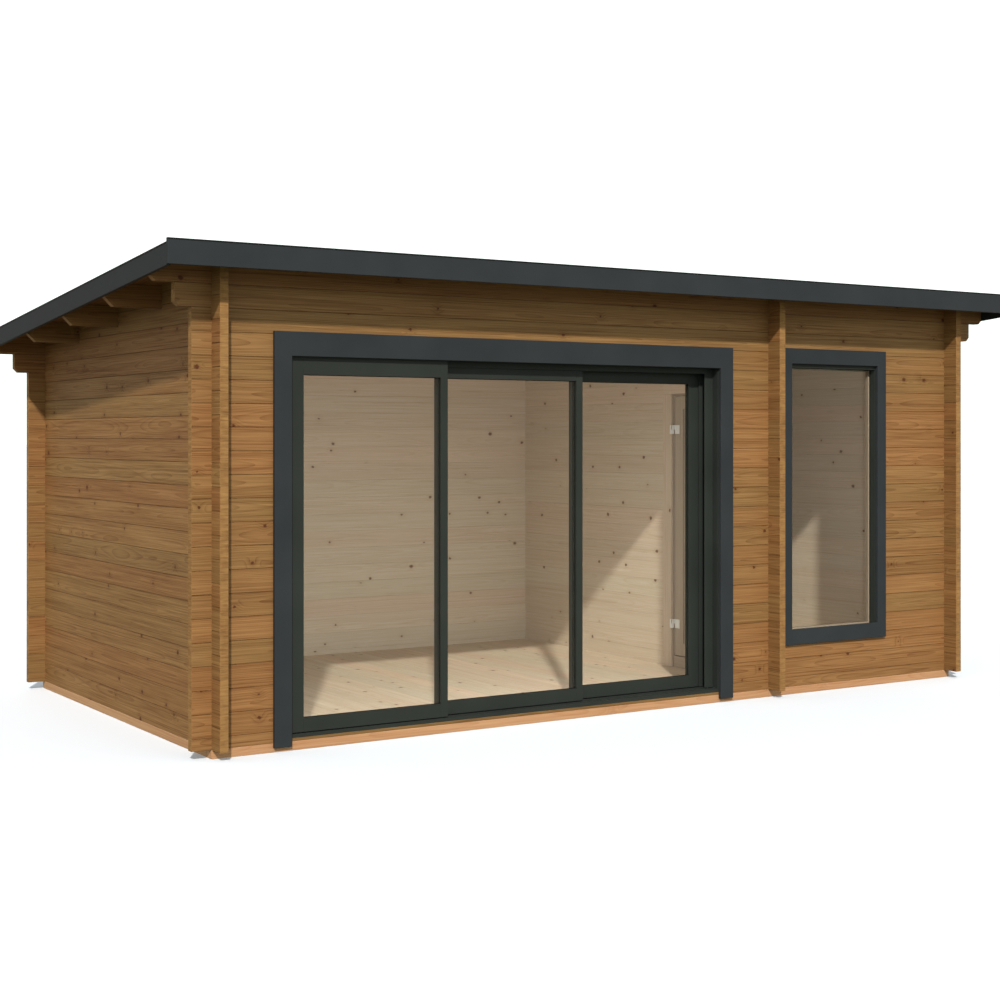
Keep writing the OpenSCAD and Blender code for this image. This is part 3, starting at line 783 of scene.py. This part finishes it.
def fascia(name, node, boards, place=None):
    """Boards with an edging strip along the top, which stands a little proud of each board's outer face.

    Each board is given by its low and high corner, the axis of its fibres and the way that it faces.
    """
    piece = Piece(name)
    trim = Piece(name + "_trim")
    for lowest, highest, axis, outward in boards:
        board_low, board_high = Vector(lowest), Vector(highest)
        lip_low, lip_high = Vector(lowest), Vector(highest)
        cap_low = Vector((lowest.x, lowest.y, highest.z - TRIM_T))
        board_high.z -= TRIM_T
        lip_low.z = highest.z - TRIM_LIP
        lip_high.z = highest.z - TRIM_T
        for i in (X, Y):
            if outward[i] < 0:
                board_low[i] += TRIM_T
                lip_high[i] = lip_low[i] + TRIM_T
            if outward[i] > 0:
                board_high[i] -= TRIM_T
                lip_low[i] = lip_high[i] - TRIM_T
        piece.add(block(board_low, board_high, EDGE_BOARD), axis, place=place)
        trim.add(block(cap_low, highest, 0), axis, place=place)
        trim.add(block(lip_low, lip_high, 0), axis, place=place)
    piece.build([PAINT], replaces=(node,))
    trim.build([TRIM])


def along_roof(level_y):
    """Gives the slope of the roof to what was made level, and keeps its height at level_y."""
    def place(co):
        return Vector((co.x, co.y, co.z - SLOPE * (co.y - level_y)))
    return place


def fascias():
    front_low, front_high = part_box("fascia_front")
    fascia("fascia_front_board", "fascia_front", [(front_low, front_high, X, (0, -1))])

    lowest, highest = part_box("fascia_back")
    top = highest.z - SLOPE * (highest.y - lowest.y)
    fascia(
        "fascia_back_board", "fascia_back", [(lowest, Vector((highest.x, highest.y, top)), X, (0, 1))],
        along_roof(highest.y))

    lowest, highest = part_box("fascia_sides")
    thick = front_high.y - front_low.y
    top = highest.z - SLOPE * (highest.y - lowest.y)
    left = (lowest, Vector((lowest.x + thick, highest.y, top)), Y, (-1, 0))
    right = (Vector((highest.x - thick, lowest.y, lowest.z)), Vector((highest.x, highest.y, top)), Y, (1, 0))
    fascia("fascia_side_boards", "fascia_sides", [left, right], along_roof(highest.y))


# ---------------------------------------------------------------- Doors and window


def gaskets(name, pane, body):
    """Black strips round a pane, on its outer face."""
    lowest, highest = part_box(pane)
    piece = Piece(name)
    y0, y1 = lowest.y - GASKET_T, lowest.y
    for x0, x1 in ((lowest.x, lowest.x + GASKET_W), (highest.x - GASKET_W, highest.x)):
        piece.add(block((x0, y0, lowest.z), (x1, y1, highest.z), EDGE_PROFILE), Z)
    for z0, z1 in ((lowest.z, lowest.z + GASKET_W), (highest.z - GASKET_W, highest.z)):
        piece.add(block((lowest.x + GASKET_W, y0, z0), (highest.x - GASKET_W, y1, z1), EDGE_PROFILE), X)
    piece.build([RUBBER], body)


def frame_members(name, outer, hole, y0, y1, material, replaces=(), body="house"):
    """Two full stiles with rails between them, round a hole."""
    low_x, low_z, high_x, high_z = outer[0].x, outer[0].z, outer[1].x, outer[1].z
    piece = Piece(name)
    piece.add(block((low_x, y0, low_z), (hole[0].x, y1, high_z), EDGE_MEMBER), Z)
    piece.add(block((hole[1].x, y0, low_z), (high_x, y1, high_z), EDGE_MEMBER), Z)
    piece.add(block((hole[0].x, y0, low_z), (hole[1].x, y1, hole[0].z), EDGE_MEMBER), X)
    piece.add(block((hole[0].x, y0, hole[1].z), (hole[1].x, y1, high_z), EDGE_MEMBER), X)
    piece.build([material], body, replaces)


def sliding_leaf(side):
    """A dark frame round a pane."""
    leaf, pane, body = "leaf_" + side, "glass_" + side, "door_leaf_" + side
    lowest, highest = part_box(leaf)
    frame_members(
        leaf + "_members", (lowest, highest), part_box(pane), lowest.y, highest.y, FRAME, (leaf,),
        body)
    gaskets(leaf + "_gaskets", pane, body)


def sliding_door():
    refined("sliding_casing", "sliding_casing_boards", EDGE_BOARD, PAINT)
    for part in ("head", "sill", "jamb_left", "jamb_right"):
        node = "sliding_" + part
        refined(node, node + "_profile", EDGE_PROFILE, FRAME)
    for side in ("left", "middle", "right"):
        sliding_leaf(side)


def window():
    """A dark frame outside, and a pale one behind the pane that shows a little more of its width."""
    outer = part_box("window_frame")
    pane_low, pane_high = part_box("window_glass")
    bead = Vector((WINDOW_BEAD, 0, WINDOW_BEAD))
    frame_members(
        "window_frame_outside", outer, (pane_low, pane_high), outer[0].y, pane_high.y, FRAME,
        ("window_frame",))
    frame_members(
        "window_frame_inside", outer, (pane_low + bead, pane_high - bead), pane_high.y, outer[1].y, JOINERY)
    refined("window_casing", "window_casing_boards", EDGE_BOARD, PAINT)
    gaskets("window_gaskets", "window_glass", "house")


def members_along_y(piece, outer, y0, y1, z0, z1):
    """Two full stiles with rails between them, in a wall along Y, round a hole from y0 to y1 and z0 to z1."""
    lowest, highest = outer
    piece.add(block(lowest, (highest.x, y0, highest.z)), Z)
    piece.add(block((lowest.x, y1, lowest.z), highest), Z)
    piece.add(block((lowest.x, y0, lowest.z), (highest.x, y1, z0)), Y)
    piece.add(block((lowest.x, y0, z1), (highest.x, y1, highest.z)), Y)


def inner_leaf():
    """Stiles and rails round a recessed panel of tongued boards."""
    lowest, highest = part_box("inner_leaf")
    piece = Piece("inner_leaf_joinery")
    y0, y1 = lowest.y + INNER_STILE, highest.y - INNER_STILE
    z0, z1 = lowest.z + INNER_STILE, highest.z - INNER_STILE
    members_along_y(piece, (lowest, highest), y0, y1, z0, z1)
    recess = (highest.x - lowest.x) / 4
    a, b = lowest.x + recess, highest.x - recess
    ease = PANEL_BOARD_EASE
    edges = board_edges(y0, y1, PANEL_BOARD_W)
    for p, q in zip(edges, [edge - HAIR for edge in edges[1:]]):
        outline = [
            (a, p + ease), (a + ease, p), (b - ease, p), (b, p + ease),
            (b, q - ease), (b - ease, q), (a + ease, q), (a, q - ease)]
        piece.add(prism(outline, Z, z0, z1), Z)
    piece.build([JOINERY], "inner_door", ("inner_leaf",))


def inner_casing():
    """Boards round the doorway on both faces of the partition."""
    lowest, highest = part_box("inner_casing")
    leaf_low, leaf_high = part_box("inner_leaf")
    back = INNER_GAP + INNER_REVEAL
    y0, y1 = leaf_low.y - back, leaf_high.y + back
    z1 = leaf_high.z + back
    piece = Piece("inner_casing_boards")
    for x0, x1 in ((lowest.x, low("partition_front").x), (high("partition_front").x, highest.x)):
        piece.add(block((x0, lowest.y, z1), (x1, highest.y, highest.z), EDGE_TIMBER), Y)
        piece.add(block((x0, lowest.y, lowest.z), (x1, y0, z1), EDGE_TIMBER), Z)
        piece.add(block((x0, y1, lowest.z), (x1, highest.y, z1), EDGE_TIMBER), Z)
    piece.build([LOGS_IN], replaces=("inner_casing",))


def inner_frame():
    leaf_low, leaf_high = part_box("inner_leaf")
    piece = Piece("inner_frame_joinery")
    members_along_y(
        piece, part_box("inner_frame"), leaf_low.y - INNER_GAP, leaf_high.y + INNER_GAP, leaf_low.z - INNER_GAP,
        leaf_high.z + INNER_GAP)
    piece.build([JOINERY], replaces=("inner_frame",))


def inner_door():
    inner_frame()
    inner_casing()
    inner_leaf()
    refined("inner_hinge_frame", "inner_hinge_frame_half", EDGE_METAL, WHITE)
    refined("inner_hinge_leaf", "inner_hinge_leaf_half", EDGE_METAL, WHITE, "inner_door")


def finish_nodes():
    """Materials of the CAD nodes that show as they are."""
    plain = {"floor_joists": TIMBER}
    plain.update({node: GLASS for node in ("glass_left", "glass_middle", "glass_right", "window_glass")})
    for node, material in plain.items():
        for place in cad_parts[node].material_slots:
            place.material = material


# ---------------------------------------------------------------- Studio


def ground():
    """A wide pale floor, which casts no colour on the house."""
    reach = 300.0
    corners = [(-reach, -reach, 0), (reach, -reach, 0), (reach, reach, 0), (-reach, reach, 0)]
    mesh = bpy.data.meshes.new("studio_floor")
    mesh.from_pydata(corners, [], [(0, 1, 2, 3)])
    mesh.materials.append(studio_floor("studio_floor"))
    plane = bpy.data.objects.new("studio_floor", mesh)
    plane.visible_diffuse = False
    plane.visible_glossy = False
    bpy.context.scene.collection.objects.link(plane)


def key_light():
    """Sunlight from the front left, with softened shadows."""
    travel = Vector((0.57, 1.0, -0.83))
    data = bpy.data.lights.new("key_light", "SUN")
    data.energy = 3.4
    data.angle = math.radians(2)
    data.color = (1.0, 0.955, 0.89)
    lamp = bpy.data.objects.new("key_light", data)
    lamp.rotation_euler = travel.to_track_quat("-Z", "Y").to_euler()
    bpy.context.scene.collection.objects.link(lamp)


def room_light(name, lowest, highest, power):
    """Soft light into a room from its glazed opening."""
    behind_pane = 0.05
    data = bpy.data.lights.new(name, "AREA")
    data.shape = "RECTANGLE"
    data.size, data.size_y = highest.x - lowest.x, highest.z - lowest.z
    data.energy = power
    data.color = (1.0, 0.98, 0.99)
    lamp = bpy.data.objects.new(name, data)
    lamp.location = ((lowest.x + highest.x) / 2, highest.y + behind_pane, (lowest.z + highest.z) / 2)
    lamp.rotation_euler = (math.radians(90), 0, 0)
    lamp.visible_camera = False
    lamp.visible_glossy = False
    bpy.context.scene.collection.objects.link(lamp)


def studio_world():
    """White round the horizon, dimmer overhead, with a faint warm green glow from below.

    What mirrors it meets an even warm grey instead.
    """
    below, horizon, overhead = (0.15, 0.17, 0.13), (0.93, 1.0, 0.96), (0.36, 0.37, 0.38)
    marks = (
        (0.0, below), (0.49, below), (0.496, horizon), (0.635, horizon), (0.8, overhead), (1.0, overhead))
    world = bpy.data.worlds.new("studio")
    n = Nodes(world)
    upward = n.split(n.node("TexCoord", {}).outputs["Generated"])[2]
    ramp = n.node("ValToRGB", {"Fac": n.remap(upward, -1.0, 1.0)})
    stops = ramp.color_ramp.elements
    for index, (height, colour) in enumerate(marks):
        stop = stops[index] if index < 2 else stops.new(height)
        stop.position = height
        stop.color = colour + (1.0,)
    shining = n.node("Background", {"Color": ramp.outputs["Color"], "Strength": 1.38}).outputs[0]
    mirrored = n.node("Background", {"Color": (0.34, 0.30, 0.25, 1.0)}).outputs[0]
    glossy = n.node("LightPath", {}).outputs["Is Glossy Ray"]
    mix = n.node("MixShader", {0: glossy, 1: shining, 2: mirrored}).outputs[0]
    n.node("OutputWorld", {"Surface": mix})
    return world


def studio():
    ground()
    key_light()
    room_light("main_room_fill", low("leaf_left"), high("leaf_right"), 21.0)
    room_light("small_room_fill", *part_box("window_glass"), 5.5)
    bpy.context.scene.world = studio_world()
    bpy.context.scene.view_settings.view_transform = "Standard"


def camera():
    data = bpy.data.cameras.new("camera")
    data.sensor_width = 36
    data.lens = 59.13
    data.shift_y = -0.0635
    data.clip_end = 1000
    eye = bpy.data.objects.new("camera", data)
    eye.location = (-5.521, -8.549, 1.526)
    eye.rotation_euler = Vector((0.5375, 0.8433, 0.0)).to_track_quat("-Z", "Y").to_euler()
    bpy.context.scene.collection.objects.link(eye)
    bpy.context.scene.camera = eye


walls()
for name in ("purlin_front", "purlin_middle", "purlin_back"):
    purlin(name)
base()
floors()
roof_boards()
roof_felt()
fascias()
sliding_door()
window()
inner_door()
finish_nodes()
studio()
camera()
